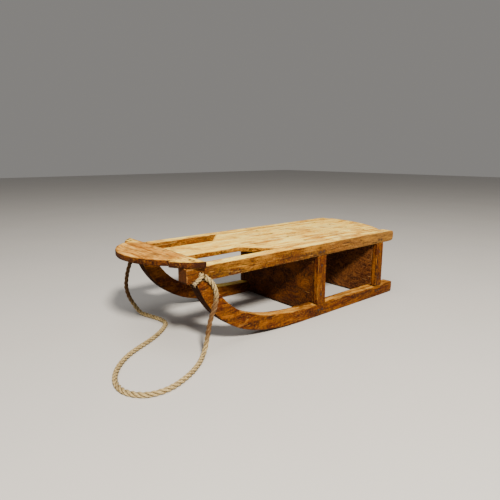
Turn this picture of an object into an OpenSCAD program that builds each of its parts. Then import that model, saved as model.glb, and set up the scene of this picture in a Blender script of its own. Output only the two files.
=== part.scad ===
// Low wooden child's sled: two sawn runners and two top rails tied together by two solid bulkheads,
// with a shaped seat board, a scalloped nose board and a twisted tow rope.
// Millimetres. +X is the direction of travel, +Y the rider's left, Z up from the ground.
// The origin lies on the ground, under the middle of the wooden body's bounding box.

/* [Overall] */
// Length from the right rail's tail to the front of the nose board
length = 916; // [820:2:1010]
// Width across the outer faces of the rails
width = 340; // [290:2:410]
// Height of the top of the rails and seat
deck_z = 208; // [180:1:250]

/* [Rails] */
// Width of a rail
rail_w = 35; // [24:1:45]
// Depth of a rail
rail_h = 34; // [26:1:44]
// How far the nose board reaches past the front ends of the rails
rail_inset = 68; // [50:1:90]
// How much shorter the left rail is than the right one at the tail
tail_skew = 61; // [0:1:80]
// Radius of the worn corners at the tail of a rail
tail_round = 9; // [2:1:12]

/* [Runners] */
// Thickness of a runner
runner_w = 34; // [24:1:44]
// Depth of a runner along its straight sole
runner_h = 34; // [26:1:44]
// Length of the upswept part of a runner
sweep_l = 364; // [280:2:440]
// Length of the joint between a runner's tip and the rail above it
tip_l = 42; // [30:1:56]
// Distance from the front end of a rail back to the runner's tip
tip_inset = 23; // [14:1:40]
// How far the left runner reaches behind the left rail
runner_tail = 9; // [0:1:30]
// How far the right runner is set back from the left one
right_setback = 20; // [0:1:40]

/* [Bulkheads and posts] */
// Thickness of a bulkhead board
bulkhead_t = 25; // [16:1:30]
// Clearance between a bulkhead and the ground
bulkhead_lift = 3; // [1:1:20]
// Distance of a bulkhead's front face behind the front of its posts
bulkhead_recess = 2; // [0:0.5:4]
// Width of a post along the sled
post_l = 34; // [31:1:46]
// Thickness of a post across the sled
post_t = 17; // [8:1:22]
// Distance from the left rail's tail to the rear posts
rear_post_inset = 53; // [20:1:90]

/* [Seat] */
// Thickness of the seat board
seat_t = 12; // [9:1:20]
// Width of the tongue that runs forward to the nose board
tongue_w = 118; // [80:2:150]
// Length of the open grip slots between the nose board and the root of the tongue
slot_l = 188; // [120:2:230]
// How far each shoulder slants back from the tongue's root to the rail
shoulder_l = 68; // [20:2:90]
// Radius of the rounded tail of the seat
seat_tail_r = 340; // [310:5:600]
// Distance of the roundest point of the tail from the middle, towards the right rail
seat_tail_shift = 95; // [0:5:110]

/* [Nose board] */
// Thickness of the nose board
nose_t = 14; // [10:1:24]
// Overhang of each ear past the outer face of its rail
ear_overhang = 15; // [14:1:30]
// Distance from the front of the middle lobe back to the board's straight rear edge
nose_l = 110; // [96:1:124]
// Distance from the front of the middle lobe back to the notches
notch_back = 58; // [44:1:66]
// Distance of the notches inside the outer faces of the rails
notch_inset = 44; // [30:1:60]
// How far both notches sit off the middle, towards the right rail
notch_shift = 8; // [0:1:10]
// Depth of the small notches between the lobe and the ears
notch_d = 8; // [4:1:12]
// Radius of the front edge of an ear
ear_r = 80; // [70:1:140]

/* [Nails] */
// Radius of a nail's shank
nail_r = 1.6; // [1:0.1:2.5]
// Radius of a nail's head
nail_head_r = 3.2; // [2.6:0.1:5]
// Height of a nail's head
nail_head_h = 0.8; // [0.4:0.1:2]
// Length of the long nails
nail_l = 50; // [40:1:60]

/* [Rope] */
// Diameter of the tow rope
rope_d = 12; // [8:1:14]
// Diameter of the rope's ends where they pass through the rails
tie_d = 10; // [6:1:11]
// Diameter of the rope's bore in each rail
rope_bore_d = 13; // [12:1:18]

/* [Hidden] */
$fn = 48;
eps = 0.01;
left = 1;
right = -1;

// Places along X
nose_front_x = length / 2;
right_tail_x = -length / 2;
left_tail_x = right_tail_x + tail_skew;
rail_front_x = nose_front_x - rail_inset;
runner_tail_x = left_tail_x - runner_tail;
tip_front_x = rail_front_x - tip_inset;
sweep_x = tip_front_x - sweep_l;
back_start_x = sweep_x - 16;
nose_rear_x = nose_front_x - nose_l;
tongue_root_x = nose_rear_x - slot_l;
front_post_x = back_start_x - right_setback - post_l;
rear_post_x = left_tail_x + rear_post_inset;
front_bulkhead_x = front_post_x + post_l - bulkhead_recess - bulkhead_t;
rear_bulkhead_x = rear_post_x + post_l - bulkhead_recess - bulkhead_t;

// Places across Y and up Z
half_w = width / 2;
rail_in_y = half_w - rail_w;
runner_in_y = half_w - runner_w;
post_in_y = half_w - post_t;
rail_under_z = deck_z - rail_h;
seat_under_z = deck_z - seat_t;
notch_y = half_w - notch_inset;
ear_y = half_w + ear_overhang;

// How far forward a side's runner and rope bore sit, against the left side
function side_x(side) = side > 0 ? 0 : -right_setback;

// The rope's bore lies just above the runner's tip
function rope_bore_x(side) = tip_front_x - 14 + side_x(side);
rope_bore_z = rail_under_z + 16;

// A cubic curve through four control points, as n + 1 points
function cubic(a, b, c, d, n) = [
  for (i = [0:n]) let (t = i / n, s = 1 - t)
    s * s * s * a + 3 * s * s * t * b + 3 * s * t * t * c + t * t * t * d
];

// Points of an arc from a to b that bulges to the right of the way from a to b
function arc(a, b, r, n) = let (
  chord = b - a,
  half = norm(chord) / 2,
  across = [-chord.y, chord.x] / (2 * half),
  centre = (a + b) / 2 + across * sqrt(r * r - half * half),
  start = atan2(a.y - centre.y, a.x - centre.x),
  sweep = 2 * asin(half / r)
) [for (i = [0:n]) centre + r * [cos(start + sweep * i / n), sin(start + sweep * i / n)]];

// --- Nails: each is [point on the surface, direction it is driven in, length] ---

bulkhead_mid_xs = [front_bulkhead_x + bulkhead_t / 2, rear_bulkhead_x + bulkhead_t / 2];
pair_dx = 7;
seat_nail_y = rail_in_y - 30;
seat_nail_l = 45;
post_nail_l = 45;
tip_nail_l = 60;
tongue_nail_l = nose_t + seat_t - 2;
ear_nail_l = nose_t + rail_h - 8;
ear_nail_back = 25;
post_nail_zs = [runner_h + 28, rail_under_z - 28];

seat_nail_list = [
  for (x = bulkhead_mid_xs, y = [-1, -1 / 3, 1 / 3, 1] * seat_nail_y)
    [[x, y, deck_z], [0, 0, -1], seat_nail_l]
];
nose_nail_list = concat(
  [for (s = [left, right], inset = [9, 25])
    [[rail_front_x - ear_nail_back, s * (half_w - inset), deck_z + nose_t], [0, 0, -1], ear_nail_l]],
  [for (s = [left, right])
    [[nose_rear_x + 16, s * tongue_w / 4, deck_z + nose_t], [0, 0, -1], tongue_nail_l]]
);
rail_nail_list = [
  for (s = [left, right], x = bulkhead_mid_xs, dx = [-pair_dx, pair_dx])
    [[x + dx, s * half_w, (rail_under_z + seat_under_z) / 2], [0, -s, 0], nail_l]
];
post_nail_list = [
  for (s = [left, right], x = bulkhead_mid_xs, z = post_nail_zs)
    [[x, s * half_w, z], [0, -s, 0], post_nail_l]
];
runner_nail_list = [
  for (s = [left, right], x = bulkhead_mid_xs, dx = [-pair_dx, pair_dx])
    [[x + dx, s * half_w, (bulkhead_lift + runner_h) / 2], [0, -s, 0], nail_l]
];
tip_nail_list = [
  for (s = [left, right])
    [[rope_bore_x(s) - 18, s * (half_w - runner_w / 2), deck_z], [0, 0, -1], tip_nail_l]
];

// Turns +Z into a nail's direction, which is straight down or straight across
module point_along(dir) {
  turn = dir.z < 0 ? [180, 0, 0] : [-90 * dir.y, 0, 0];
  rotate(turn) children();
}

module nail(spec) {
  translate(spec[0]) point_along(spec[1]) {
    cylinder(h = spec[2], r = nail_r);
    translate([0, 0, -nail_head_h]) cylinder(h = nail_head_h, r = nail_head_r);
  }
}

module nail_bores(list) {
  for (spec = list)
    translate(spec[0]) point_along(spec[1])
      translate([0, 0, -1]) cylinder(h = spec[2] + 1, r = nail_r);
}

module nails(list) {
  color("dimgray") for (spec = list) nail(spec);
}

// --- Runners ---

sole_curve = cubic(
  [sweep_x, 0],
  [sweep_x + 0.58 * sweep_l, 0],
  [tip_front_x - 52, 42],
  [tip_front_x, rail_under_z],
  20
);
back_curve = cubic(
  [tip_front_x - tip_l, rail_under_z],
  [tip_front_x - tip_l - 54, 58],
  [sweep_x + 0.41 * sweep_l, runner_h + 2],
  [back_start_x, runner_h],
  20
);
runner_heel = 5;

module runner(side) {
  outline = concat(
    [[runner_tail_x + runner_heel, 0]],
    sole_curve,
    back_curve,
    [[runner_tail_x, runner_h], [runner_tail_x, runner_heel]]
  );
  outer = side > 0 ? half_w : -runner_in_y;
  color("peru") difference() {
    translate([side_x(side), outer, 0]) rotate([90, 0, 0])
      linear_extrude(runner_w) polygon(outline);
    nail_bores(runner_nail_list);
    nail_bores(tip_nail_list);
  }
}

// --- Rails ---

module rail_profile(tail_x) {
  translate([tail_x + tail_round, 0]) square([rail_front_x - tail_x - tail_round, rail_h]);
  translate([tail_x, tail_round]) square([tail_round + eps, rail_h - 2 * tail_round]);
  for (z = [tail_round, rail_h - tail_round])
    translate([tail_x + tail_round, z]) circle(r = tail_round);
}

module rail(side) {
  tail_x = side > 0 ? left_tail_x : right_tail_x;
  outer = side > 0 ? half_w : -rail_in_y;
  color("burlywood") difference() {
    translate([0, outer, rail_under_z]) rotate([90, 0, 0])
      linear_extrude(rail_w) rail_profile(tail_x);
    translate([rope_bore_x(side), side * (half_w + 1), rope_bore_z]) rotate([side * 90, 0, 0])
      cylinder(h = rail_w + 2, d = rope_bore_d);
    nail_bores(rail_nail_list);
    nail_bores(nose_nail_list);
    nail_bores(tip_nail_list);
  }
}

// --- Bulkheads and the posts at their ends ---

// A full-width board, notched over the runners and up between the rails
module bulkhead(x) {
  edge = [
    [runner_in_y, bulkhead_lift], [runner_in_y, runner_h], [post_in_y, runner_h],
    [post_in_y, rail_under_z], [rail_in_y, rail_under_z], [rail_in_y, seat_under_z]
  ];
  outline = concat(edge, [for (i = [len(edge) - 1:-1:0]) [-edge[i].x, edge[i].y]]);
  color("saddlebrown") difference() {
    translate([x, 0, 0]) rotate([90, 0, 90]) linear_extrude(bulkhead_t) polygon(outline);
    nail_bores(seat_nail_list);
    nail_bores(rail_nail_list);
    nail_bores(post_nail_list);
    nail_bores(runner_nail_list);
  }
}

module post(x, side) {
  inner = side > 0 ? post_in_y : -half_w;
  color("peru") difference() {
    translate([x, inner, runner_h]) cube([post_l, post_t, rail_under_z - runner_h]);
    nail_bores(post_nail_list);
  }
}

// --- Seat board ---

module seat_outline() {
  shoulder_x = tongue_root_x - shoulder_l;
  tail_centre_x = right_tail_x + seat_tail_r;
  difference() {
    polygon([
      [right_tail_x, -rail_in_y], [shoulder_x, -rail_in_y], [tongue_root_x, -tongue_w / 2],
      [rail_front_x, -tongue_w / 2], [rail_front_x, tongue_w / 2],
      [tongue_root_x, tongue_w / 2], [shoulder_x, rail_in_y], [right_tail_x, rail_in_y]
    ]);
    difference() {
      translate([right_tail_x - 1, -width]) square([seat_tail_r / 2, 2 * width]);
      translate([tail_centre_x, -seat_tail_shift]) circle(r = seat_tail_r, $fn = 160);
    }
  }
}

module seat_board() {
  color("wheat") difference() {
    translate([0, 0, seat_under_z]) linear_extrude(seat_t) seat_outline();
    nail_bores(seat_nail_list);
    nail_bores(nose_nail_list);
  }
}

// --- Nose board ---

// The middle lobe is one arc, and each ear sweeps back from its notch to the straight rear edge
lobe_r = (notch_y * notch_y + notch_back * notch_back) / (2 * notch_back);
lobe_centre = [nose_front_x - lobe_r, 0];
notch_ys = [-notch_y - notch_shift, notch_y - notch_shift];
notch_gap = 12;
// How far each ear's front corner stands ahead of its notch, right ear then left ear
ear_leads = [-8, 2];

function on_lobe(angle) = lobe_centre + lobe_r * [cos(angle), sin(angle)];

// A notch and the front edge of the ear beyond it, from the inside outwards
function ear(side) = let (
  which = side > 0 ? 1 : 0,
  corner = on_lobe(asin(notch_ys[which] / lobe_r)),
  start = corner + [ear_leads[which], side * notch_gap],
  tip = [nose_rear_x, side * ear_y],
  edge = side > 0 ? arc(start, tip, ear_r, 10) : arc(tip, start, ear_r, 10),
  notch = [corner + [-notch_d + min(0, ear_leads[which]), side * notch_gap / 3]]
) side > 0 ? concat(notch, edge) : concat(edge, notch);

module nose_board() {
  angles = [for (y = notch_ys) asin(y / lobe_r)];
  lobe = [for (i = [0:32]) on_lobe(angles[0] + (angles[1] - angles[0]) * i / 32)];
  color("burlywood") difference() {
    translate([0, 0, deck_z]) linear_extrude(nose_t)
      polygon(concat(ear(right), lobe, ear(left)));
    nail_bores(nose_nail_list);
  }
}

// --- Rope ---

// Middle line of the tow rope: it hangs from the left rail over the runner, lies on the ground
// in one wide bight ahead of the sled, turns back under the nose and hangs from the right rail
ROPE_ROUTE = [
  [348.8, 176, 187], [337, 176, 176.5], [325, 176, 163], [318, 176, 140], [321, 176, 116],
  [331, 176, 94], [339, 176, 70], [344, 175, 44], [350, 175, 20], [364, 184, 7],
  [388, 205, 6], [416, 225, 6], [446, 241, 6], [476, 252, 6], [505, 255, 6],
  [531, 248, 6], [551, 229, 6], [561, 203, 6], [560, 173, 6], [549, 142, 6],
  [530, 112, 6], [505, 85, 6], [476, 62, 6], [444, 44, 6], [410, 26, 6],
  [377, 5, 6], [346, -21, 6], [324, -48, 6], [319, -76, 6], [325, -108, 6],
  [333, -140, 6], [340, -164, 10], [351, -174, 30], [364, -176, 56], [371, -176, 86],
  [368, -176, 115], [361, -176, 140], [351, -176, 161], [335.7, -176, 185.7]
];
rope_sides = 10;
tie_sides = 12;

function unit(v) = v / norm(v);
function flatten(lists) = [for (list = lists) each list];

// Direction of a route at each of its points
function tangents(p) = let (last = len(p) - 1) [
  for (i = [0:last]) unit(p[min(i + 1, last)] - p[max(i - 1, 0)])
];

// A side direction at each point, carried along the route so that the tube doesn't twist
function sides_along(t, i, side) = i >= len(t) ? [] :
  let (here = unit(side - (side * t[i]) * t[i])) concat([here], sides_along(t, i + 1, here));

function ring(centre, t, side, r, n) = let (other = cross(t, side)) [
  for (k = [0:n - 1]) centre + r * (cos(360 * k / n) * side + sin(360 * k / n) * other)
];

// A round tube with flat ends along a route, with a radius given at each point
module tube(route, radii, n, side) {
  t = tangents(route);
  s = sides_along(t, 0, side);
  count = len(route);
  points = flatten([for (i = [0:count - 1]) ring(route[i], t[i], s[i], radii[i], n)]);
  walls = [
    for (i = [0:count - 2], k = [0:n - 1]) let (m = (k + 1) % n)
      [i * n + k, i * n + m, (i + 1) * n + m, (i + 1) * n + k]
  ];
  caps = [
    [for (k = [n - 1:-1:0]) k],
    [for (k = [0:n - 1]) (count - 1) * n + k]
  ];
  polyhedron(points = points, faces = concat(walls, caps), convexity = 6);
}

module rope() {
  radii = [for (p = ROPE_ROUTE) rope_d / 2];
  color("tan") tube(ROPE_ROUTE, radii, rope_sides, [0, 1, 0]);
}

// An end of the rope: a stopper knot inside the rail, the way out through the bore, and a short
// tail outside that points down, forward on the left and back on the right. Each row is
// [along X, past the rail's face, above the bore, share of the tie's radius]; the knot's rows
// count from the rail's inner face.
knot_rows = [
  [0, -20, 0, 0.7], [0, -16, 0, 1.7], [0, -10, 0, 1.95], [0, -4.5, 0, 1.7], [0, -0.3, 0, 1.3]
];
tail_rows = [
  [0, -5, 0, 1], [0, 1, 0, 1], [1, 5, -0.5, 0.96], [4.5, 8, -3, 0.92],
  [10, 8.5, -6.5, 0.9], [19, 8, -12, 0.92]
];

module rope_tie(side) {
  rows = concat(
    [for (row = knot_rows) [row[0], rail_in_y + row[1], row[2], row[3]]],
    [[0, rail_in_y + 0.3, 0, 1]],
    [for (row = tail_rows) [row[0], half_w + row[1], row[2], row[3]]]
  );
  bore = [rope_bore_x(side), 0, rope_bore_z];
  route = [for (row = rows) bore + [side * row[0], side * row[1], row[2]]];
  radii = [for (row = rows) row[3] * tie_d / 2];
  color("tan") tube(route, radii, tie_sides, [0, 0, 1]);
}

runner(left);  // runner_left
runner(right);  // runner_right
rail(left);  // rail_left
rail(right);  // rail_right
post(front_post_x, left);  // post_front_left
post(front_post_x, right);  // post_front_right
post(rear_post_x, left);  // post_rear_left
post(rear_post_x, right);  // post_rear_right
bulkhead(front_bulkhead_x);  // bulkhead_front
bulkhead(rear_bulkhead_x);  // bulkhead_rear
seat_board();
nose_board();
nails(seat_nail_list);  // seat_nails
nails(nose_nail_list);  // nose_nails
nails(rail_nail_list);  // rail_nails
nails(post_nail_list);  // post_nails
nails(runner_nail_list);  // runner_nails
nails(tip_nail_list);  // tip_nails
rope();
rope_tie(left);  // rope_tie_left
rope_tie(right);  // rope_tie_right
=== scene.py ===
"""Wooden toboggan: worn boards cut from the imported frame, driven nails and a twisted tow rope."""
import math

import bpy
import numpy as np
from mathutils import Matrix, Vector, noise
from mathutils.geometry import delaunay_2d_cdt


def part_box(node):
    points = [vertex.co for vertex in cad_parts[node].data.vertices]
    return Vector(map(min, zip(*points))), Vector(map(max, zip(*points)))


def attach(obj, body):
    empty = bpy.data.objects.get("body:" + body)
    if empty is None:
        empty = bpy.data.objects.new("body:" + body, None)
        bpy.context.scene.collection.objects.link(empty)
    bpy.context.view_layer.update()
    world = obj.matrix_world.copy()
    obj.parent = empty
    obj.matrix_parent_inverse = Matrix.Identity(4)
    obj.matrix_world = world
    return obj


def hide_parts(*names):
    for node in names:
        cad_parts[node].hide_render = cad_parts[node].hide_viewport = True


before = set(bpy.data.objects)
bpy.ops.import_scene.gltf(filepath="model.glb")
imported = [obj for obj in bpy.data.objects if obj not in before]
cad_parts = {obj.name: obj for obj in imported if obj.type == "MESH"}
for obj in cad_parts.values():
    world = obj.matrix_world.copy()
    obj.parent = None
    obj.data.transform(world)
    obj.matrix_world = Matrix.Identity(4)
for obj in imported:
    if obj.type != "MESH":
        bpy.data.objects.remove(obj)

MM = 0.001
X, Y, Z = 0, 1, 2
BODY = "root"
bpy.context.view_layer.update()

# ---------------------------------------------------------------- camera

CAMERA_PLACE = (0.8715, 0.9438, 0.4443)
CAMERA_PITCH_DOWN = 12.12  # degrees
CAMERA_HEADING = 139.64  # degrees from +Y, anticlockwise from above
CAMERA_LENS = 31.76  # millimetres, as the sensor's width
CAMERA_SENSOR = 36.0


def make_camera():
    """A camera that looks down at the nose from the front left."""
    data = bpy.data.cameras.new("camera")
    data.lens = CAMERA_LENS
    data.sensor_width = CAMERA_SENSOR
    data.clip_start = 0.05
    camera = bpy.data.objects.new("camera", data)
    bpy.context.scene.collection.objects.link(camera)
    camera.location = CAMERA_PLACE
    camera.rotation_euler = (math.radians(90 - CAMERA_PITCH_DOWN), 0, math.radians(CAMERA_HEADING))
    bpy.context.scene.camera = camera


# ---------------------------------------------------------------- small helpers


def srgb(red, green, blue):
    """A colour given as 0 to 255 screen values, as linear values."""
    parts = [c / 255 for c in (red, green, blue)]
    return tuple(c / 12.92 if c <= 0.04045 else ((c + 0.055) / 1.055) ** 2.4 for c in parts)


def soft(point, octaves):
    """Smooth noise from about -1 to 1."""
    return noise.fractal(point, 1.0, 2.0, octaves)


def build_mesh(name, verts, faces):
    """A smooth-shaded object in the scene."""
    mesh = bpy.data.meshes.new(name)
    mesh.from_pydata([tuple(v) for v in verts], [], faces)
    mesh.update()
    mesh.polygons.foreach_set("use_smooth", [True] * len(mesh.polygons))
    piece = bpy.data.objects.new(name, mesh)
    bpy.context.scene.collection.objects.link(piece)
    return piece


def float_attribute(piece, name, values):
    """Stores one number at each point of a piece, for its material to read."""
    layer = piece.data.attributes.new(name, "FLOAT", "POINT")
    layer.data.foreach_set("value", np.asarray(values, dtype=np.float32))


def dress(piece, material, slot, *nodes):
    """Gives a piece its material and its body, and hides the CAD nodes it stands for; slot is not used.
    """
    piece.data.materials.append(material)
    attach(piece, BODY)
    if nodes:
        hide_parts(*nodes)
    return piece


# ---------------------------------------------------------------- reading the frame

FLAT_WITHIN = 2e-5  # how far an end face's points may lie from its plane, in metres
SAME_WITHIN = 6  # decimals, in metres, to which two points that are one agree


def flat_loops(node, axis):
    """Outlines of a prism's end face across an axis, largest first, as 2-D points in metres."""
    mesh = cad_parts[node].data
    mesh.calc_loop_triangles()
    places = np.array([v.co[:] for v in mesh.vertices])
    top = places[:, axis].max()
    keys = [tuple(p) for p in np.round(places, SAME_WITHIN)]
    edges = {}  # those that only one triangle has, in the order they come
    for triangle in mesh.loop_triangles:
        corners = [keys[i] for i in triangle.vertices]
        if any(abs(c[axis] - top) > FLAT_WITHIN for c in corners):
            continue
        for a, b in zip(corners, corners[1:] + corners[:1]):
            if (b, a) in edges:
                del edges[(b, a)]
            else:
                edges[(a, b)] = True
    following = {a: b for a, b in edges}
    first, second = (axis + 1) % 3, (axis + 2) % 3
    loops = []
    while following:
        start, here = next(iter(following.items()))
        loop = [start]
        del following[start]
        while here != start:
            loop.append(here)
            here = following.pop(here)
        loops.append(np.array([[p[first], p[second]] for p in loop]))
    return sorted(loops, key=lambda p: -abs(area(p)))


def area(loop):
    """The signed area inside an outline, in square metres."""
    x, y = loop[:, 0], loop[:, 1]
    return 0.5 * float(np.sum(x * np.roll(y, -1) - y * np.roll(x, -1)))


def islands(mesh):
    """The points of each separate solid in a mesh, as arrays."""
    places = np.array([v.co[:] for v in mesh.vertices])
    keys = {}
    group = [keys.setdefault(tuple(p), i) for i, p in enumerate(np.round(places, SAME_WITHIN))]
    parent = list(range(len(places)))

    def root(i):
        while parent[i] != i:
            parent[i] = parent[parent[i]]
            i = parent[i]
        return i

    for i, j in enumerate(group):
        parent[root(i)] = root(j)
    for a, b in (e.vertices for e in mesh.edges):
        parent[root(a)] = root(b)
    groups = {}
    for i in range(len(places)):
        groups.setdefault(root(i), []).append(i)
    return [places[members] for members in groups.values()]


def nail_places(node):
    """Each nail of a node: head centre, outward direction, length."""
    found = []
    for points in islands(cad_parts[node].data):
        low, high = points.min(0), points.max(0)
        along = int(np.argmax(high - low))
        middle = (low + high) / 2
        across = np.delete(points - middle, along, axis=1)
        widest = points[np.argmax(np.linalg.norm(across, axis=1)), along]
        sign = 1 if widest > middle[along] else -1
        head = middle.copy()
        head[along] = high[along] if sign > 0 else low[along]
        out = np.zeros(3)
        out[along] = sign
        found.append((Vector(head), Vector(out), float(high[along] - low[along])))
    return found


# ---------------------------------------------------------------- worn boards

OUTLINE_STEP = 4 * MM
SHARP_TURN = 35.0  # degrees
SMOOTHINGS = 24
ALONG_STEP = 8 * MM
ACROSS_STEP = 2.4 * MM
WALL_STEP = 3 * MM
END_GAP = 1.3 * MM  # between an end face's outline and the net of points inside it
SMALL_HOLE = 20e-6  # square metres: a nail's hole, which the nail fills, is left out
FAR = 1e9

# How fine the noises of a board's wear are, in waves per metre
GROOVE_SCALE = 260
GROOVE_STRETCH = 0.09  # times that, along the grain
HOLLOW_SCALE = 14
DENT_SCALE = 45
ROUNDING_SCALE = 60
CHIP_SCALE = 38


def divided(loop):
    """An outline cut into short steps, with its gentle bends smoothed and its corners marked."""
    count = len(loop)
    points, sharp = [], []
    for i in range(count):
        before, here, after = loop[i - 1], loop[i], loop[(i + 1) % count]
        a, b = here - before, after - here
        turn = abs(math.degrees(math.atan2(a[0] * b[1] - a[1] * b[0], a @ b)))
        cuts = max(1, round(float(np.linalg.norm(b)) / OUTLINE_STEP))
        for k in range(cuts):
            points.append(here + b * k / cuts)
            sharp.append(k == 0 and turn > SHARP_TURN)
    points, sharp = np.array(points), np.array(sharp)
    for _ in range(SMOOTHINGS):
        middle = (np.roll(points, 1, 0) + np.roll(points, -1, 0)) / 2
        points = np.where(sharp[:, None], points, 0.5 * points + 0.5 * middle)
    return points, sharp


def inward(points):
    """Mitred directions into the wood at each point of an outline, wood on the left."""
    ahead = np.roll(points, -1, 0) - points
    ahead /= np.linalg.norm(ahead, axis=1)[:, None] + 1e-12
    side = np.stack([-ahead[:, 1], ahead[:, 0]], 1)
    both = side + np.roll(side, 1, 0)
    return both / np.maximum(0.5, (both * both).sum(1) / 2)[:, None]


def distance_to(points, outline):
    """Distance from each point to an outline's nearest stretch."""
    a, b = outline, np.roll(outline, -1, 0)
    best = np.full(len(points), FAR)
    for start, end in zip(a, b):
        along = end - start
        t = np.clip(((points - start) @ along) / (along @ along + 1e-18), 0, 1)
        best = np.minimum(best, np.linalg.norm(points - start - t[:, None] * along, axis=1))
    return best


def is_inside(points, outline):
    """Which points lie inside an outline."""
    inside = np.zeros(len(points), dtype=bool)
    for (x1, y1), (x2, y2) in zip(outline, np.roll(outline, -1, 0)):
        crosses = (y1 > points[:, 1]) != (y2 > points[:, 1])
        at = x1 + (points[:, 1] - y1) * (x2 - x1) / (y2 - y1 + 1e-18)
        inside ^= crosses & (points[:, 0] < at)
    return inside


class Board:
    """A worn board in place of a prism-shaped node: edges rounded and chipped, faces hollowed.

    axis is the prism's axis and grain the axis that the fibres follow, 0 to 2. edge_r, chips,
    ragged and dents say how far it has worn, in mm, and seed sets one board's wear apart from
    another's. piece is the finished mesh, which carries each point's distance from the nearest
    edge, in mm, in its "edge" attribute.
    """

    def __init__(self, node, axis, grain, seed, edge_r=1.3, chips=0.5, ragged=0.2, dents=0.5):
        low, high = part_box(node)
        self.axis, self.grain = axis, grain
        self.top, self.thick = high[axis], high[axis] - low[axis]
        self.edge_r, self.chips, self.ragged, self.dents = edge_r, chips, ragged, dents
        self.most_radius = (edge_r * 1.6 + chips * 3.0) * MM
        self.shift = Vector((seed * 3.1, seed * 1.7, seed * 2.3))
        self.verts, self.faces, self.edge = [], [], []
        self.caps = []  # each end outline, with its first vertex in the far and the near end
        for loop in flat_loops(node, axis):
            if abs(area(loop)) > SMALL_HOLE:
                self.add_wall(*divided(loop))
        self.fill_ends()
        self.piece = build_mesh(f"{node}_wood", self.verts, self.faces)
        float_attribute(self.piece, "edge", np.asarray(self.edge) / MM)

    def place(self, flat, depth):
        """The point in space of an outline's point, at a depth below the far end face."""
        point = Vector((0, 0, 0))
        point[self.axis] = self.top - depth
        point[(self.axis + 1) % 3] = float(flat[0])
        point[(self.axis + 2) % 3] = float(flat[1])
        return point

    def wear(self, point):
        """How far the surface has worn back at a point, in metres."""
        stretched = point * GROOVE_SCALE + self.shift
        stretched[self.grain] *= GROOVE_STRETCH
        groove = max(0.0, soft(stretched, 3)) ** 2
        hollow = soft(point * HOLLOW_SCALE + self.shift, 2)
        dent = max(0.0, soft(point * DENT_SCALE + self.shift * 2, 2) - 0.35)
        return MM * self.dents * (0.45 + 0.45 * hollow + 0.9 * groove + 1.2 * dent)

    def bite(self, points, ins):
        """Moves an outline's points in where its edge is ragged, and gives each one's radius."""
        radii = []
        for i, p in enumerate(points):
            corner = self.place(p, 0)
            at = corner * ROUNDING_SCALE + self.shift
            chip = max(0.0, soft(corner * CHIP_SCALE + self.shift, 3) - 0.28) * 3.2
            rounding = self.edge_r * (1 + 0.5 * soft(at, 2))
            radii.append(MM * (rounding + self.chips * min(chip, 2.6)))
            points[i] = p + ins[i] * self.ragged * (0.5 + 0.5 * soft(at * 1.7, 3)) * MM
        return np.clip(np.array(radii), 0.3 * MM, self.most_radius)

    def rings(self):
        """The rings of a wall, from end to end: radii inward, radii deeper, and the depth."""
        thick, most = self.thick, self.most_radius
        inner = np.arange(most + 1 * MM, thick - most - 0.5 * MM, WALL_STEP)
        rounded = [(1.0, 0.0), (0.3, 0.3), (0.0, 1.0)]
        return ([(inset, share, 0) for inset, share in rounded]
                + [(0.0, 0.0, depth) for depth in inner]
                + [(inset, -share, thick) for inset, share in reversed(rounded)])

    def add_wall(self, points, sharp):
        """The faces along one outline, between the rounded edges of its two ends."""
        ins = inward(points)
        outs = -ins / np.linalg.norm(ins, axis=1)[:, None]
        radii = self.bite(points, ins)
        count, base, rings = len(points), len(self.verts), self.rings()
        to_corner = np.full(count, FAR)
        if sharp.any():
            to_corner = np.linalg.norm(points[:, None] - points[sharp][None], axis=2).min(1)
        for inset, share, depth in rings:
            flat = points + ins * (radii * inset)[:, None]
            deep = depth + share * radii
            tilt = 1.0 if inset == 1.0 else (0.5 if inset else 0.0)
            side = 1 if depth < self.thick / 2 else -1
            for i in range(count):
                point = self.place(flat[i], deep[i])
                out = Vector((0, 0, 0))
                out[self.axis] = tilt * side
                out[(self.axis + 1) % 3] = (1 - tilt) * outs[i][0]
                out[(self.axis + 2) % 3] = (1 - tilt) * outs[i][1]
                self.verts.append(point - out.normalized() * self.wear(point))
            self.edge.extend(np.minimum(np.minimum(deep, self.thick - deep), to_corner))
        for k in range(len(rings) - 1):
            a, b = base + k * count, base + (k + 1) * count
            for i in range(count):
                j = (i + 1) % count
                self.faces.append((a + j, a + i, b + i, b + j))
        self.caps.append((points + ins * radii[:, None], base, base + (len(rings) - 1) * count))

    def in_wood(self, points):
        """Which points lie inside the outer outline and outside every hole."""
        inside = is_inside(points, self.caps[0][0])
        for hole, _, _ in self.caps[1:]:
            inside &= ~is_inside(points, hole)
        return inside

    def end_net(self):
        """Points spread over an end face along the grain, and their distance from its outlines."""
        outer = self.caps[0][0]
        low, high = outer.min(0), outer.max(0)
        steps = [ALONG_STEP if (self.axis + k) % 3 == self.grain else ACROSS_STEP for k in (1, 2)]
        xs = np.arange(low[0] + steps[0] / 2, high[0], steps[0])
        ys = np.arange(low[1] + steps[1] / 2, high[1], steps[1])
        net = np.array([(x, y + (i % 2) * 0.3 * steps[1]) for i, x in enumerate(xs) for y in ys])
        net = net[self.in_wood(net)]
        gap = np.full(len(net), FAR)
        for ring, _, _ in self.caps:
            gap = np.minimum(gap, distance_to(net, ring))
        clear = gap > END_GAP
        return net[clear], gap[clear]

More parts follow.
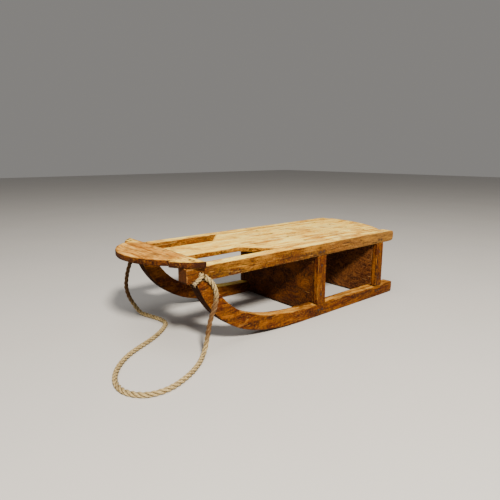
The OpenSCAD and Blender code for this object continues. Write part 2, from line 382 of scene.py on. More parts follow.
    def fill_ends(self):
        """Fills both end faces with a fine net of triangles that follows the grain."""
        net, gap = self.end_net()
        flat = np.concatenate([ring for ring, _, _ in self.caps] + [net])
        links, start = [], 0
        for ring, _, _ in self.caps:
            count = len(ring)
            links += [(start + i, start + (i + 1) % count) for i in range(count)]
            start += count
        found = delaunay_2d_cdt([Vector(p) for p in flat], links, [], 1, 1e-7, True)
        points, triangles, origin = found[0], found[2], found[3]
        centres = np.array([np.mean([points[i][:] for i in t], axis=0) for t in triangles])
        kept = [t for t, inside in zip(triangles, self.in_wood(centres)) if inside]
        for depth, side in ((0.0, 1), (self.thick, -1)):
            index = []
            for ring, far_start, near_start in self.caps:
                first = far_start if side > 0 else near_start
                index += range(first, first + len(ring))
            out = Vector((0, 0, 0))
            out[self.axis] = side
            for p, distance in zip(net, gap):
                index.append(len(self.verts))
                point = self.place(p, depth)
                self.verts.append(point - out * self.wear(point))
                self.edge.append(distance + 1 * MM)
            for triangle in kept:
                face = [index[origin[i][0]] for i in triangle]
                self.faces.append(tuple(face if side > 0 else reversed(face)))


# ---------------------------------------------------------------- nails

HEAD_R = 3.2 * MM
HEAD_H = 0.8 * MM
HEAD_ROWS = [(0.45, 0.98), (0.8, 0.8), (1.0, 0.35), (1.0, 0.0)]  # shares of radius and height
HEAD_SIDES = 12
SHANK_ROWS = [(0.0, 1.15), (0.8, 1.0), (0.99, 0.25)]  # share of the length, half width in mm
SHANK_CORNERS = [(1, 1), (-1, 1), (-1, -1), (1, -1)]


def nail_head(verts, faces, seat, out, number):
    """One uneven, slightly domed head. number sets its shape apart from the others'."""
    turn = out.to_track_quat("Z", "Y").to_matrix()
    base = len(verts)
    for reach, lift in HEAD_ROWS:
        for k in range(HEAD_SIDES):
            angle = 2 * math.pi * k / HEAD_SIDES
            spoke = Vector((math.cos(angle), math.sin(angle), 0))
            uneven = 0.86 + 0.14 * soft(Vector((spoke.x, spoke.y, number * 5)), 2)
            tilt = 0.06 * math.sin(angle + number)
            at = spoke * HEAD_R * reach * uneven
            at.z = HEAD_H * min(1.0, lift * 0.9 + tilt * reach)
            verts.append(seat + turn @ at)
    centre = len(verts)
    verts.append(seat + out * HEAD_H * 0.9)
    last_row = len(HEAD_ROWS) - 1
    for k in range(HEAD_SIDES):
        j = (k + 1) % HEAD_SIDES
        faces.append((base + k, base + j, centre))
        for row in range(last_row):
            a, b = base + row * HEAD_SIDES, base + (row + 1) * HEAD_SIDES
            faces.append((a + j, a + k, b + k, b + j))
    faces.append(tuple(base + last_row * HEAD_SIDES + k for k in reversed(range(HEAD_SIDES))))


def nail_shank(verts, faces, seat, out, length):
    """One square, tapering shank, down from under the head."""
    turn = out.to_track_quat("Z", "Y").to_matrix()
    base = len(verts)
    for share, half in SHANK_ROWS:
        for x, y in SHANK_CORNERS:
            verts.append(seat + turn @ Vector((x * half * MM, y * half * MM, -share * length)))
    last = base + 4 * (len(SHANK_ROWS) - 1)
    for a in range(base, last, 4):
        for k in range(4):
            j = (k + 1) % 4
            faces.append((a + k, a + 4 + k, a + 4 + j, a + j))
    faces.append(tuple(last + k for k in reversed(range(4))))
    faces.append(tuple(base + k for k in range(4)))


def nails(node, material):
    """The hand-driven nails of a node, as one piece."""
    verts, faces = [], []
    for number, (head, out, length) in enumerate(nail_places(node)):
        seat = head - out * HEAD_H
        nail_head(verts, faces, seat, out, number)
        nail_shank(verts, faces, seat, out, length - HEAD_H)
    return dress(build_mesh(f"{node}_iron", verts, faces), material, "iron", node)


# ---------------------------------------------------------------- rope

ROPE_D = 12 * MM
# The rope's middle line, in mm: down from the left rail, over the ground in one wide bight ahead
# of the sled, back under the nose and up to the right rail
ROPE_ROUTE = [
    (348.8, 176, 187), (337, 176, 176.5), (325, 176, 163), (318, 176, 140), (321, 176, 116),
    (331, 176, 94), (339, 176, 70), (344, 175, 44), (350, 175, 20), (364, 184, 7),
    (388, 205, 6), (416, 225, 6), (446, 241, 6), (476, 252, 6), (505, 255, 6),
    (531, 248, 6), (551, 229, 6), (561, 203, 6), (560, 173, 6), (549, 142, 6),
    (530, 112, 6), (505, 85, 6), (476, 62, 6), (444, 44, 6), (410, 26, 6),
    (377, 5, 6), (346, -21, 6), (324, -48, 6), (319, -76, 6), (325, -108, 6),
    (333, -140, 6), (340, -164, 10), (351, -174, 30), (364, -176, 56), (371, -176, 86),
    (368, -176, 115), (361, -176, 140), (351, -176, 161), (335.7, -176, 185.7),
]
STRANDS = 3
STRAND_SIDES = 10
STRAND_OUT = 0.23  # from the rope's middle to a strand's, as a share of the rope's thickness
STRAND_R = 0.256  # a strand's radius, as the same share
LAY_LENGTH = 40 * MM
TIE_LAY_LENGTH = 30 * MM
RING_STEP = 2.2 * MM
SPLINE_CUTS = 12  # of each stretch between two points of a route
ROPE_SEED = 7
HAIR_LOWEST = 0.35 * MM  # above the ground


def spline(route):
    """A smooth line through a route's points, as evenly spaced points in metres, and how far
    along the line each of them is."""
    knots = [Vector(p) * MM for p in route]
    knots = [2 * knots[0] - knots[1]] + knots + [2 * knots[-1] - knots[-2]]
    line = []
    for a, b, c, d in zip(knots, knots[1:], knots[2:], knots[3:]):
        for k in range(SPLINE_CUTS):
            t = k / SPLINE_CUTS
            line.append(0.5 * (2 * b + (c - a) * t + (2 * a - 5 * b + 4 * c - d) * t * t
                               + (3 * b - a - 3 * c + d) * t ** 3))
    line.append(knots[-2])
    points = np.array([p[:] for p in line])
    reach = np.concatenate([[0], np.cumsum(np.linalg.norm(np.diff(points, axis=0), axis=1))])
    count = max(2, round(reach[-1] / RING_STEP))
    at = np.linspace(0, reach[-1], count + 1)
    return np.stack([np.interp(at, reach, points[:, k]) for k in range(3)], 1), at


def carried_frames(line, start):
    """Tangent and two side directions along a line, carried without twist."""
    tangents = np.gradient(line, axis=0)
    tangents /= np.linalg.norm(tangents, axis=1)[:, None]
    sides, side = [], np.array(start, dtype=float)
    for t in tangents:
        side = side - (side @ t) * t
        side /= np.linalg.norm(side)
        sides.append(side.copy())
    sides = np.array(sides)
    return tangents, sides, np.cross(tangents, sides)


def laid_rope(name, route, thickness, start_side, lay_length):
    """Three twisted strands along a route, as one piece, and its centreline.

    thickness gives the rope's thickness in metres at a share of its length. The "lay" attribute
    holds the share of the way round a strand, the distance along the rope, and the strand.
    """
    line, at = spline(route)
    _, sides, others = carried_frames(line, start_side)
    rings = len(line)
    verts, faces, lays = [], [], []
    for strand in range(STRANDS):
        base = len(verts)
        for i, (centre, reach) in enumerate(zip(line, at)):
            whole = thickness(reach / at[-1])
            uneven = 1 + 0.05 * soft(Vector((reach * 45, strand * 7, 3)), 2)
            offset, radius = STRAND_OUT * whole, STRAND_R * whole * uneven
            turn = 2 * math.pi * (reach / lay_length + strand / STRANDS)
            out = sides[i] * math.cos(turn) + others[i] * math.sin(turn)
            aside = -sides[i] * math.sin(turn) + others[i] * math.cos(turn)
            for k in range(STRAND_SIDES):
                angle = 2 * math.pi * k / STRAND_SIDES
                verts.append(centre + out * (offset + radius * math.cos(angle))
                             + aside * radius * math.sin(angle))
        for i in range(rings - 1):
            a, b = base + i * STRAND_SIDES, base + (i + 1) * STRAND_SIDES
            for k in range(STRAND_SIDES):
                j = (k + 1) % STRAND_SIDES
                faces.append((a + k, a + j, b + j, b + k))
                u0, u1 = k / STRAND_SIDES, (k + 1) / STRAND_SIDES
                lays += [(u0, at[i], strand), (u1, at[i], strand),
                         (u1, at[i + 1], strand), (u0, at[i + 1], strand)]
        for ring, flip in ((0, True), (rings - 1, False)):
            cap = [base + ring * STRAND_SIDES + k for k in range(STRAND_SIDES)]
            faces.append(tuple(reversed(cap)) if flip else tuple(cap))
            lays += [(0.5, at[ring], strand)] * STRAND_SIDES
    piece = build_mesh(name, verts, faces)
    layer = piece.data.attributes.new("lay", "FLOAT_VECTOR", "CORNER")
    layer.data.foreach_set("vector", np.asarray(lays, dtype=np.float32).ravel())
    return piece, line


def fibre(verts, faces, points, thick):
    """A fine three-sided hair along a few points, tapering to its tip."""
    base, count = len(verts), len(points)
    for i, p in enumerate(points):
        ahead = (points[min(i + 1, count - 1)] - points[max(i - 1, 0)]).normalized()
        side = ahead.orthogonal().normalized()
        other = ahead.cross(side)
        radius = thick * (1 - 0.75 * i / (count - 1))
        for k in range(3):
            angle = 2 * math.pi * k / 3
            verts.append(p + radius * (side * math.cos(angle) + other * math.sin(angle)))
    for i in range(count - 1):
        for k in range(3):
            j = (k + 1) % 3
            a, b = base + 3 * i, base + 3 * i + 3
            faces.append((a + k, a + j, b + j, b + k))
    faces.append((base + 2, base + 1, base))
    faces.append(tuple(base + 3 * count - 3 + k for k in range(3)))


def fuzz(name, line, radius, rng, count, longest):
    """Loose hairs that stand off a rope and stay above the ground."""
    verts, faces = [], []
    tangents, sides, others = carried_frames(line, (0.2, 1.0, 0.1))
    for _ in range(count):
        i = int(rng.integers(1, len(line) - 1))
        turn = rng.uniform(0, 2 * math.pi)
        out = Vector(sides[i] * math.cos(turn) + others[i] * math.sin(turn))
        ahead = Vector(tangents[i]) * (1 if rng.uniform() < 0.7 else -1)
        start = Vector(line[i]) + out * radius * 0.86
        start.z = max(start.z, HAIR_LOWEST)
        length = longest * rng.uniform(0.35, 1.0)
        sway = Vector(rng.normal(0, 0.35, 3))
        hair = [start]
        for k in range(1, 4):
            t = k / 3
            way = (ahead * (1 - 0.3 * t) + out * (0.12 + 0.45 * t) + sway * t * 0.6).normalized()
            point = hair[-1] + way * length / 3
            point.z = max(point.z, HAIR_LOWEST)
            hair.append(point)
        fibre(verts, faces, hair, rng.uniform(0.09, 0.16) * MM)
    return build_mesh(name, verts, faces)


def frayed_end(name, tip, way, rng, count, spread, longest):
    """A brush of loose fibres at the end of a rope's tail."""
    verts, faces = [], []
    side = way.orthogonal().normalized()
    other = way.cross(side)
    for _ in range(count):
        turn = rng.uniform(0, 2 * math.pi)
        out = side * math.cos(turn) + other * math.sin(turn)
        start = tip + out * spread * rng.uniform(0.0, 0.9) - way * 2 * MM
        length = longest * rng.uniform(0.4, 1.0)
        hair = [start]
        for k in range(1, 5):
            t = k / 4
            bend = out * 0.55 * t + Vector(rng.normal(0, 0.16, 3)) - Vector((0, 0, 0.35 * t))
            hair.append(hair[-1] + (way + bend).normalized() * length / 4)
        fibre(verts, faces, hair, rng.uniform(0.13, 0.24) * MM)
    return build_mesh(name, verts, faces)


# ---------------------------------------------------------------- node material helper


class Graph:
    """A material's node tree, with short ways to add the nodes that these materials use."""

    def __init__(self, name):
        self.material = bpy.data.materials.new(name)
        self.material.use_nodes = True
        self.tree = self.material.node_tree
        self.tree.nodes.clear()
        self.shader = self.node("ShaderNodeBsdfPrincipled")
        output = self.node("ShaderNodeOutputMaterial")
        self.tree.links.new(self.shader.outputs[0], output.inputs["Surface"])
        self.place = self.node("ShaderNodeTexCoord").outputs["Object"]
        self.normal = self.node("ShaderNodeNewGeometry").outputs["Normal"]

    def node(self, kind, **settings):
        made = self.tree.nodes.new(kind)
        for key, value in settings.items():
            setattr(made, key, value)
        return made

    def feed(self, socket, value):
        """Links a socket to another node's, or sets it to a number or a colour."""
        if isinstance(value, bpy.types.NodeSocket):
            self.tree.links.new(value, socket)
        elif isinstance(value, tuple) and socket.type == "RGBA":
            socket.default_value = (*value[:3], 1.0)
        else:
            socket.default_value = value

    def math(self, operation, *values):
        made = self.node("ShaderNodeMath", operation=operation)
        for socket, value in zip(made.inputs, values):
            self.feed(socket, value)
        return made.outputs[0]

    def vector(self, operation, *values):
        made = self.node("ShaderNodeVectorMath", operation=operation)
        for socket, value in zip(made.inputs, values):
            self.feed(socket, value)
        return made.outputs["Value"] if operation in ("DISTANCE", "DOT_PRODUCT") else made.outputs[0]

    def parts(self, vector):
        """The three numbers of a vector, as sockets."""
        made = self.node("ShaderNodeSeparateXYZ")
        self.feed(made.inputs[0], vector)
        return made.outputs

    def noise(self, place, scale, detail, rough=0.55, output="Fac"):
        made = self.node("ShaderNodeTexNoise")
        for key, value in (("Vector", place), ("Scale", float(scale)), ("Detail", float(detail)),
                           ("Roughness", rough)):
            self.feed(made.inputs[key], value)
        return made.outputs[output]

    def swing(self, noise_value, amount):
        """A noise as a swing about zero, amount from end to end."""
        return self.math("MULTIPLY", self.math("SUBTRACT", noise_value, 0.5), amount)

    def level(self, value, low, high, least=0.0, most=1.0):
        """A smooth step: least where value is at low, most where it is at high."""
        made = self.node("ShaderNodeMapRange", interpolation_type="SMOOTHSTEP")
        for key, amount in (("Value", value), ("From Min", low), ("From Max", high),
                            ("To Min", least), ("To Max", most)):
            self.feed(made.inputs[key], amount)
        return made.outputs["Result"]

    def ramp(self, value, *stops):
        """The colour at value, between stops of (position, colour)."""
        made = self.node("ShaderNodeValToRGB")
        self.feed(made.inputs[0], value)
        marks = made.color_ramp.elements
        while len(marks) < len(stops):
            marks.new(0.5)
        for mark, (position, colour) in zip(marks, stops):
            mark.position = position
            mark.color = (*colour, 1.0)
        return made.outputs["Color"]

    def mix(self, share, a, b, mode="MIX"):
        made = self.node("ShaderNodeMix", data_type="RGBA", blend_type=mode)
        self.feed(made.inputs[0], share)
        self.feed(made.inputs[6], a)
        self.feed(made.inputs[7], b)
        return made.outputs[2]

    def attribute(self, name, output="Fac"):
        return self.node("ShaderNodeAttribute", attribute_name=name).outputs[output]

    def bump(self, height, distance, strength=1.0):
        made = self.node("ShaderNodeBump")
        self.feed(made.inputs["Height"], height)
        self.feed(made.inputs["Distance"], float(distance))
        self.feed(made.inputs["Strength"], float(strength))
        self.feed(self.shader.inputs["Normal"], made.outputs[0])


# ---------------------------------------------------------------- materials

# Colours of the sides: deep, mid and light are the figure, red its warm patches, stain its dark
# marks and worn its rubbed edges.
PALETTES = {
    "golden": dict(deep=srgb(52, 25, 3), mid=srgb(118, 69, 7), light=srgb(178, 122, 30),
                   red=srgb(102, 48, 5), stain=srgb(22, 10, 2), worn=srgb(206, 158, 78)),
    "amber": dict(deep=srgb(38, 17, 2), mid=srgb(84, 45, 6), light=srgb(144, 96, 23),
                  red=srgb(86, 42, 6), stain=srgb(15, 6, 2), worn=srgb(190, 144, 76)),
    "russet": dict(deep=srgb(26, 9, 1), mid=srgb(76, 34, 2), light=srgb(134, 78, 10),
                   red=srgb(72, 27, 2), stain=srgb(12, 4, 1), worn=srgb(172, 120, 50)),
    "umber": dict(deep=srgb(18, 6, 1), mid=srgb(56, 23, 2), light=srgb(112, 62, 11),
                  red=srgb(52, 18, 2), stain=srgb(9, 3, 1), worn=srgb(148, 104, 46)),
    "tawny": dict(deep=srgb(25, 9, 4), mid=srgb(62, 29, 10), light=srgb(122, 73, 31),
                  red=srgb(58, 24, 7), stain=srgb(11, 4, 2), worn=srgb(168, 124, 72)),
}
# Shades of a bleached top, from dark to pale
PALE = (srgb(160, 92, 18), srgb(238, 180, 66), srgb(255, 224, 112), srgb(255, 246, 168))
HONEY = (srgb(92, 46, 8), srgb(164, 102, 28), srgb(214, 154, 64), srgb(240, 200, 116))
TOP_SHADES_AT = (0.39, 0.455, 0.535, 0.62)
TOP_FROM, TOP_TO = 0.7, 0.95  # how far a face looks up where its bleaching starts and is full
TAIL_FROM, TAIL_TO = 0.15, -0.45  # where, along X, a faded board starts to fade and is palest
UNCOVERED = 9.0  # past the end of every board


class Timber(Graph):
    """A board's node tree, with the noises and places that all of its colours share."""

    def __init__(self, name, grain, palette, seed, swirl):
        super().__init__(name)
        self.grain, self.tone = grain, PALETTES[palette]
        self.spot, self.up = self.parts(self.place), self.parts(self.normal)[Z]
        self.shifted = self.vector("ADD", self.place, (seed * 1.37, seed * 0.71, seed * 1.93))
        drift = self.noise(self.shifted, 9, 2, 0.5, "Color")
        bend = self.vector("MULTIPLY", self.vector("SUBTRACT", drift, (0.5,) * 3), (swirl * 0.1,) * 3)
        self.warped = self.vector("ADD", self.shifted, bend)

        self.lines = self.fibres(10, 260)
        broad = self.math("MULTIPLY", self.fibres(7, 75, 5, 0.62), 0.5)
        middling = self.math("MULTIPLY", self.lines, 0.32)
        fine = self.math("MULTIPLY", self.fibres(45, 1100, 2, 0.7), 0.18)
        self.figure = self.math("ADD", broad, self.math("ADD", middling, fine))
        self.patches = self.noise(self.shifted, 16, 3, 0.6)
        self.blotches = self.noise(self.shifted, 42, 5, 0.68)
        self.specks = self.noise(self.shifted, 210, 3, 0.6)

    def fibres(self, along, across, detail=3, rough=0.6):
        """Noise drawn out along the grain, as waves per metre along it and across it."""
        scale = [across] * 3
        scale[self.grain] = along
        return self.noise(self.vector("MULTIPLY", self.warped, tuple(scale)), 1, detail, rough)


def side_colour(g, stains, streaks, flecked, faded):
    """The dark antique finish of the sides, with stains, flecks and light streaks."""
    tone = g.tone
    side = g.ramp(g.figure, (0.4, tone["deep"]), (0.5, tone["mid"]), (0.62, tone["light"]))
    side = g.mix(g.level(g.patches, 0.45, 0.62, 0, 0.65), side, tone["red"])
    side = g.mix(g.level(g.patches, 0.5, 0.36, 0, 0.35), side, tone["light"])
    side = g.mix(g.level(g.spot[X], TAIL_FROM, TAIL_TO, 0, faded), side, tone["worn"])
    side = g.mix(g.level(g.lines, 0.54, 0.7, 0, 0.6), side, tone["deep"])
    side = g.mix(g.level(g.lines, 0.5, 0.38, 0, streaks), side, tone["light"])
    dark = g.math("MULTIPLY", g.level(g.blotches, 0.53, 0.72), 0.7 * stains)
    side = g.mix(dark, side, tone["stain"])
    side = g.mix(g.level(g.specks, 0.54, 0.7, 0, 0.6 * stains), side, tone["stain"])
    side = g.mix(g.level(g.specks, 0.46, 0.34, 0, 0.5), side, tone["light"])
    flecks = g.fibres(20, 290)
    amount = g.level(g.patches, 0.38, 0.6, 0.25 * flecked, 0.7 * flecked)
    side = g.mix(g.math("MULTIPLY", g.level(flecks, 0.54, 0.66), amount), side, tone["stain"])
    return g.mix(g.level(flecks, 0.42, 0.32, 0, 0.3 * flecked), side, tone["worn"])


def top_colour(g, tops, pale_ends):
    """The bleached finish of a top: scuffed, darker along its rim and in its grain lines."""
    top = g.ramp(g.figure, *zip(TOP_SHADES_AT, tops))
    if pale_ends:
        aside = g.math("ADD", g.math("ABSOLUTE", g.spot[Y]), g.math("MULTIPLY", g.patches, 0.05))
        pale = g.ramp(g.figure, *zip(TOP_SHADES_AT, PALE))
        top = g.mix(g.level(aside, 0.125, 0.16, 0, 0.85), top, pale)
    top = g.mix(g.level(g.patches, 0.5, 0.64, 0, 0.5), top, tops[0], "MULTIPLY")
    rim = g.math("ADD", g.attribute("edge"), g.swing(g.blotches, 16))
    top = g.mix(g.level(rim, 7.0, 2.0, 0, 0.5), top, tops[0])
    top = g.mix(g.level(g.fibres(24, 130), 0.58, 0.72, 0, 0.45), top, tops[3])
    top = g.mix(g.level(g.blotches, 0.58, 0.74, 0, 0.5), top, g.tone["light"])
    return g.mix(g.level(g.lines, 0.54, 0.68, 0, 0.6), top, tops[0])


def with_end_grain(g, colour):
    """Darker, speckled wood on the sawn ends."""
    along = [0.0, 0.0, 0.0]
    along[g.grain] = 1.0
    end = g.math("ABSOLUTE", g.vector("DOT_PRODUCT", g.normal, tuple(along)))
    pores = g.level(g.noise(g.shifted, 420, 3, 0.6), 0.4, 0.62)
    end_grain = g.mix(pores, g.tone["deep"], g.tone["red"])
    return g.mix(g.level(end, 0.75, 0.95, 0, 0.8), colour, end_grain)


def with_rubbed_edges(g, colour, rub):
    """Bare pale wood in broken stretches along the edges."""
    near = g.level(g.attribute("edge"), 2.6, 0.0)
    rubbed = g.math("ADD", near, g.swing(g.blotches, 4.5))
    return g.mix(g.level(rubbed, 0.85, 1.4, 0, rub), colour, g.tone["worn"])


def with_cracks(g, colour, height):
    """Thin dark cracks along the grain, here and there."""
    line = g.math("ABSOLUTE", g.math("SUBTRACT", g.fibres(3.5, 120, 2, 0.5), 0.5))
    places = g.level(g.noise(g.shifted, 11, 2), 0.5, 0.6)
    crack = g.math("MULTIPLY", g.level(line, 0.009, 0.002), places)
    colour = g.mix(g.math("MULTIPLY", crack, 0.75), colour, g.tone["stain"])
    return colour, g.math("SUBTRACT", height, g.math("MULTIPLY", crack, 1.2))


def with_scratches(g, colour, height):
    """Slanted pale scratches near the left end of a cross board."""
    slant = g.node("ShaderNodeMapping")
    g.feed(slant.inputs["Vector"], g.place)
    slant.inputs["Rotation"].default_value = (math.radians(40), 0, 0)
    slant.inputs["Scale"].default_value = (60, 16, 380)
    score = g.level(g.noise(slant.outputs[0], 1, 2, 0.5), 0.62, 0.68)
    score = g.math("MULTIPLY", score, g.level(g.spot[Y], 0.1, 0.14))
    colour = g.mix(g.math("MULTIPLY", score, 0.85), colour, g.tone["worn"])
    return colour, g.math("SUBTRACT", height, g.math("MULTIPLY", score, 0.8))


def with_nail_stain(g, colour, point):
    """A dark ring of rust in the wood round a nail's head, drawn out along the grain."""
    squeeze = [1.0, 1.0, 1.0]
    squeeze[g.grain] = 0.6
    gap = g.vector("MULTIPLY", g.vector("SUBTRACT", g.place, tuple(point)), tuple(squeeze))
    far = g.math("ADD", g.vector("DISTANCE", gap, (0.0, 0.0, 0.0)), g.swing(g.blotches, 0.008))
    return g.mix(g.level(far, 0.007, 0.002, 0, 0.5), colour, g.tone["stain"])


def wood(name, grain, palette, tops, seed, nail_points, covered_from=UNCOVERED, bleach=1.0, swirl=0.15,
         stains=1.0, streaks=0.0, flecked=1.0, faded=0.0, rub=0.5, scratched=False, pale_ends=False):
    """Weathered timber: dark antique sides, bleached tops, pale worn edges, nail stains, and painted
    shade on the faces that look down.

    nail_points are the heads of the nails in it. The top is bleached as far forward as
    covered_from, where another board covers it. swirl bends the grain. stains, streaks, flecked,
    faded and rub are the strengths of the dark stains, light streaks, dark flecks, fading
    towards the tail and rubbed edges. pale_ends bleaches a board's two ends more than its middle.
    """
    g = Timber(name, grain, palette, seed, swirl)
    side, top = side_colour(g, stains, streaks, flecked, faded), top_colour(g, tops, pale_ends)
    facing = g.math("ADD", g.up, g.swing(g.blotches, 0.5))
    bare = g.level(g.spot[X], covered_from + 4 * MM, covered_from - 2 * MM, 0, bleach)
    colour = g.mix(g.math("MULTIPLY", g.level(facing, TOP_FROM, TOP_TO), bare), side, top)
    colour = with_rubbed_edges(g, with_end_grain(g, colour), rub)
    height = g.math("ADD", g.figure, g.math("MULTIPLY", g.specks, 0.3))
    colour, height = with_cracks(g, colour, height)
    if scratched:
        colour, height = with_scratches(g, colour, height)
    for point in nail_points:
        colour = with_nail_stain(g, colour, point)
    # Painted shade: faces that look down are darkened towards the deep tone, on the undersides of the
    # boards.
    under = g.level(g.up, -0.05, -0.4)
    colour = g.mix(g.math("MULTIPLY", under, 0.8), colour, g.tone["deep"])
    g.feed(g.shader.inputs["Base Color"], colour)
    roughness = g.math("MAXIMUM", g.level(g.figure, 0.3, 0.7, 0.6, 0.84), under)
    g.feed(g.shader.inputs["Roughness"], roughness)
    g.shader.inputs["Specular IOR Level"].default_value = 0.1
    g.bump(height, 0.7 * MM, 0.9)
    return g.material


def iron():
    """Nail heads: dull, rusty iron."""
    g = Graph("old_iron")
    rust = g.noise(g.place, 380, 4, 0.6)
    colour = g.ramp(rust, (0.35, srgb(26, 17, 11)), (0.55, srgb(52, 30, 16)), (0.72, srgb(86, 46, 22)))
    g.feed(g.shader.inputs["Base Color"], colour)
    g.feed(g.shader.inputs["Roughness"], g.level(rust, 0.3, 0.7, 0.6, 0.9))
    g.shader.inputs["Metallic"].default_value = 0.1
    g.bump(rust, 0.3 * MM)
    return g.material


YARNS = 9  # round each strand
YARN_TURNS = 150.0  # per metre of rope


def rope_fibre():
    """Natural-fibre rope: yarns wound round each strand, patchy dirt, and painted shade between yarns
    and strands and where it hangs above the ground.
    """
    g = Graph("rope_fibre")
    around, along, _ = g.parts(g.attribute("lay", "Vector"))
    _, leftward, height = g.parts(g.place)
    phase = g.math("SUBTRACT", g.math("MULTIPLY", around, float(YARNS)),
                   g.math("MULTIPLY", along, YARN_TURNS))
    wobble = g.math("MULTIPLY", g.noise(g.place, 260, 2), 0.9)
    wave = g.math("SINE", g.math("MULTIPLY", g.math("ADD", phase, wobble), 2 * math.pi))
    ridge = g.level(wave, -1.0, 0.8)
    dirt = g.noise(g.place, 55, 4, 0.65)
    tint = g.noise(g.place, 700, 3, 0.6)
    # The yarn ridges drive the colour: painted shade darkens the grooves between the yarns, mixed with
    # fine noise for the fibres' own tone.
    colour = g.ramp(g.math("ADD", g.math("MULTIPLY", ridge, 0.55), g.math("MULTIPLY", tint, 0.45)),
                    (0.2, srgb(56, 36, 14)), (0.45, srgb(146, 116, 66)), (0.75, srgb(220, 196, 142)))
    # Painted shade: the side of each strand that faces the others, in the creases of the rope, is
    # darkened.
    inner = g.math("ABSOLUTE", g.math("SUBTRACT", around, 0.5))
    colour = g.mix(g.level(inner, 0.34, 0.2, 0, 0.75), colour, srgb(48, 30, 12))
    # Painted shade on the hanging rope: darkened brown above the ground on the right side, and on the
    # left side below about 11 to 17 cm.
    low_or_right = g.math("MAXIMUM", g.level(leftward, 0.02, -0.02),
                          g.level(height, 0.17, 0.11))
    hanging_shade = g.math("MULTIPLY", g.level(height, 0.02, 0.06), low_or_right)
    colour = g.mix(g.math("MULTIPLY", hanging_shade, 0.88), colour, srgb(84, 50, 22))
    colour = g.mix(g.level(dirt, 0.52, 0.7, 0, 0.55), colour, srgb(84, 62, 38))
    g.feed(g.shader.inputs["Base Color"], colour)
    g.shader.inputs["Roughness"].default_value = 0.9
    g.shader.inputs["Specular IOR Level"].default_value = 0.15
    g.bump(g.math("ADD", ridge, g.math("MULTIPLY", tint, 0.5)), 0.5 * MM)
    return g.material


def hair_fibre():
    """The loose hairs of the rope, paler than its yarns."""
    g = Graph("loose_fibre")
    shade = g.noise(g.place, 300, 2)
    colour = g.ramp(shade, (0.35, srgb(146, 120, 80)), (0.65, srgb(214, 196, 156)))
    g.feed(g.shader.inputs["Base Color"], colour)
    g.shader.inputs["Roughness"].default_value = 0.9
    return g.material


# ---------------------------------------------------------------- the object

NAIL_NODES = ["seat_nails", "nose_nails", "rail_nails", "post_nails", "runner_nails", "tip_nails"]
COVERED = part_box("nose_board")[0][X]
RAIL_SHAPE = dict(edge_r=0.8, chips=0.35)
POST_SHAPE = dict(edge_r=1.6)
BULKHEAD_SHAPE = dict(chips=0.9, ragged=1.6)
POST_LOOK = dict(rub=0.22)
BULKHEAD_LOOK = dict(swirl=1.2, flecked=0.35, scratched=True)
BOARDS = {
    # node: (prism axis, grain, palette, tops, slot, how its shape has worn, how its wood looks)
    "runner_left": (Y, X, "russet", HONEY, "runner_wood", dict(), dict(swirl=0.22, bleach=0.8)),
    "runner_right": (Y, X, "russet", PALE, "runner_wood", dict(), dict(swirl=0.22, bleach=0.85)),
    "rail_left": (Y, X, "amber", PALE, "rail_wood", RAIL_SHAPE, dict(covered_from=COVERED, faded=0.25)),
    "rail_right": (Y, X, "golden", PALE, "rail_wood", RAIL_SHAPE, dict(covered_from=COVERED)),
    "post_front_left": (Y, Z, "russet", HONEY, "post_wood", POST_SHAPE, POST_LOOK),
    "post_front_right": (Y, Z, "umber", HONEY, "post_wood", POST_SHAPE, POST_LOOK),
    "post_rear_left": (Y, Z, "russet", HONEY, "post_wood", dict(edge_r=1.8), POST_LOOK),
    "post_rear_right": (Y, Z, "umber", HONEY, "post_wood", POST_SHAPE, POST_LOOK),
    "bulkhead_front": (X, Y, "umber", HONEY, "bulkhead_wood", BULKHEAD_SHAPE,
                       dict(BULKHEAD_LOOK, stains=1.5, streaks=0.2)),
    "bulkhead_rear": (X, Y, "tawny", HONEY, "bulkhead_wood", BULKHEAD_SHAPE,
                      dict(BULKHEAD_LOOK, streaks=0.6)),
    "seat_board": (Z, X, "golden", PALE, "seat_wood", dict(edge_r=1.0),
                   dict(covered_from=COVERED, stains=1.4)),
    "nose_board": (Z, Y, "umber", HONEY, "nose_wood", dict(edge_r=1.2, ragged=0.5),
                   dict(swirl=0.3, pale_ends=True)),
}


def make_boards():
    """Every board, each with a material of its own that knows the nails in it."""
    heads = [head for node in NAIL_NODES for head, _, _ in nail_places(node)]
    for number, (node, row) in enumerate(BOARDS.items()):
        axis, grain, palette, tops, slot, shape, look = row
        seed = number + 1.0
        low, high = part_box(node)
        near = [head for head in heads
                if all(low[k] - 2 * MM < head[k] < high[k] + 2 * MM for k in range(3))]
        board = Board(node, axis, grain, seed, **shape).piece
        dress(board, wood(f"{node}_timber", grain, palette, tops, seed, near, **look), slot, node)


KNOT_REACH = 9.75 * MM  # from the outer end of a rope's stopper knot to its middle, along X
HOLE_HEIGHT = 190 * MM  # of the rope's holes in the rails


def tie_route(node, side):
    """The way of a rope's end: out from its knot, through the rail and down its outer face."""
    rail_low, rail_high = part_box("rail_left" if side > 0 else "rail_right")
    tie_low, tie_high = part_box(node)
    knot_x = tie_low[X] + KNOT_REACH if side > 0 else tie_high[X] - KNOT_REACH
    outer, inner = rail_high[Y] / MM, rail_low[Y] / MM
    if side < 0:
        outer, inner = inner, outer
    # millimetres along X, a face of the rail, and how far past it and how far up
    steps = [(0, inner, -19, 0), (0, inner, -10, 0), (0, inner, 0, 0), (0, outer, -6, 0),
             (0, outer, 1, 0), (2, outer, 6, -1), (9, outer, 8, -6), (19, outer, 8, -12)]
    return [(knot_x / MM + side * along, face + side * past, HOLE_HEIGHT / MM + up)
            for along, face, past, up in steps]


def tie_thickness(share):
    """Thick at the stopper knot near the start, and a little where it fills its hole's mouth."""
    knot = math.exp(-((share - 0.1) / 0.09) ** 2)
    mouth = math.exp(-((share - 0.63) / 0.1) ** 2)
    return (10 + 8.0 * knot + 2.5 * mouth) * MM


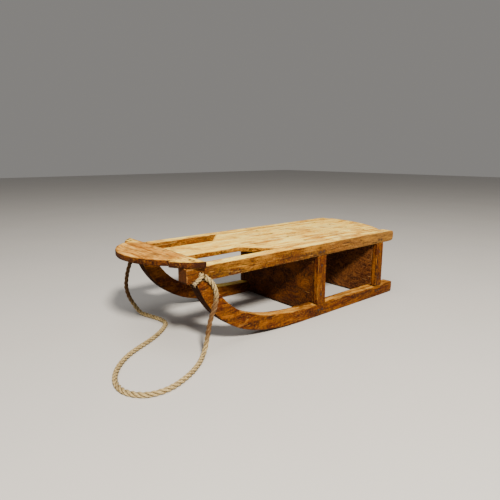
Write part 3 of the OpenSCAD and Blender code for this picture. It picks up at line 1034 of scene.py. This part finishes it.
def make_rope():
    """The tow rope, its two knotted ends, and their frayed and loose fibres."""
    rng = np.random.default_rng(ROPE_SEED)
    fibre_look, hair_look = rope_fibre(), hair_fibre()
    extras = []
    for node, side in (("rope_tie_left", 1), ("rope_tie_right", -1)):
        route = tie_route(node, side)
        tie, line = laid_rope(f"{node}_end", route, tie_thickness, (0, 0, 1), TIE_LAY_LENGTH)
        dress(tie, fibre_look, "rope", node)
        tip, back = Vector(line[-1]), Vector(line[-6])
        brush = frayed_end(f"{node}_fray", tip, (tip - back).normalized(), rng,
                           count=90, spread=4 * MM, longest=13 * MM)
        dress(brush, hair_look, "rope")
        extras += [tie, brush]
    rope, line = laid_rope("tow_rope", ROPE_ROUTE, lambda share: ROPE_D, (0, 1, 0), LAY_LENGTH)
    dress(rope, fibre_look, "rope", "rope")
    hairs = fuzz("rope_fuzz", line, ROPE_D / 2, rng, count=520, longest=11 * MM)
    dress(hairs, hair_look, "rope")
    extras.append(hairs)


# ---------------------------------------------------------------- floor and light


FLOOR_REACH = 9


def make_floor():
    """The plain pale studio floor, at ground level."""
    reach = FLOOR_REACH
    corners = [(-reach, -reach, 0), (reach, -reach, 0), (reach, reach, 0), (-reach, reach, 0)]
    floor = build_mesh("floor", corners, [(0, 1, 2, 3)])
    g = Graph("pale_floor")
    shade = g.noise(g.place, 3, 2)
    g.feed(g.shader.inputs["Base Color"], g.mix(shade, (0.50, 0.485, 0.47), (0.54, 0.525, 0.51)))
    g.shader.inputs["Roughness"].default_value = 0.85
    floor.data.materials.append(g.material)


LIT_POINT = (0, 0, 0.1)


def area_light(name, toward, distance, size, power, colour):
    """A round light that shines on the sled from a direction, in metres and watts."""
    data = bpy.data.lights.new(name, "AREA")
    data.shape = "DISK"
    data.size = size
    data.energy = power
    data.color = colour
    light = bpy.data.objects.new(name, data)
    bpy.context.scene.collection.objects.link(light)
    direction = Vector(toward).normalized()
    light.location = Vector(LIT_POINT) + direction * distance
    light.rotation_euler = direction.to_track_quat("Z", "Y").to_euler()


def make_lights():
    """A warm key light from the left, a soft fill from above and an even pale sky."""
    area_light("key", (0.5, 1.0, 0.88), distance=3.4, size=0.45, power=285, colour=(1.0, 0.92, 0.79))
    area_light("fill", (0.3, 0.1, 1.0), distance=3.4, size=2.5, power=42, colour=(1.0, 0.97, 0.92))
    world = bpy.data.worlds.new("studio")
    world.use_nodes = True
    sky = world.node_tree.nodes["Background"]
    sky.inputs["Color"].default_value = (0.84, 0.81, 0.77, 1.0)
    sky.inputs["Strength"].default_value = 0.28
    bpy.context.scene.world = world


make_camera()
make_floor()
make_lights()
make_boards()
rust = iron()
for nail_node in NAIL_NODES:
    nails(nail_node, rust)
make_rope()
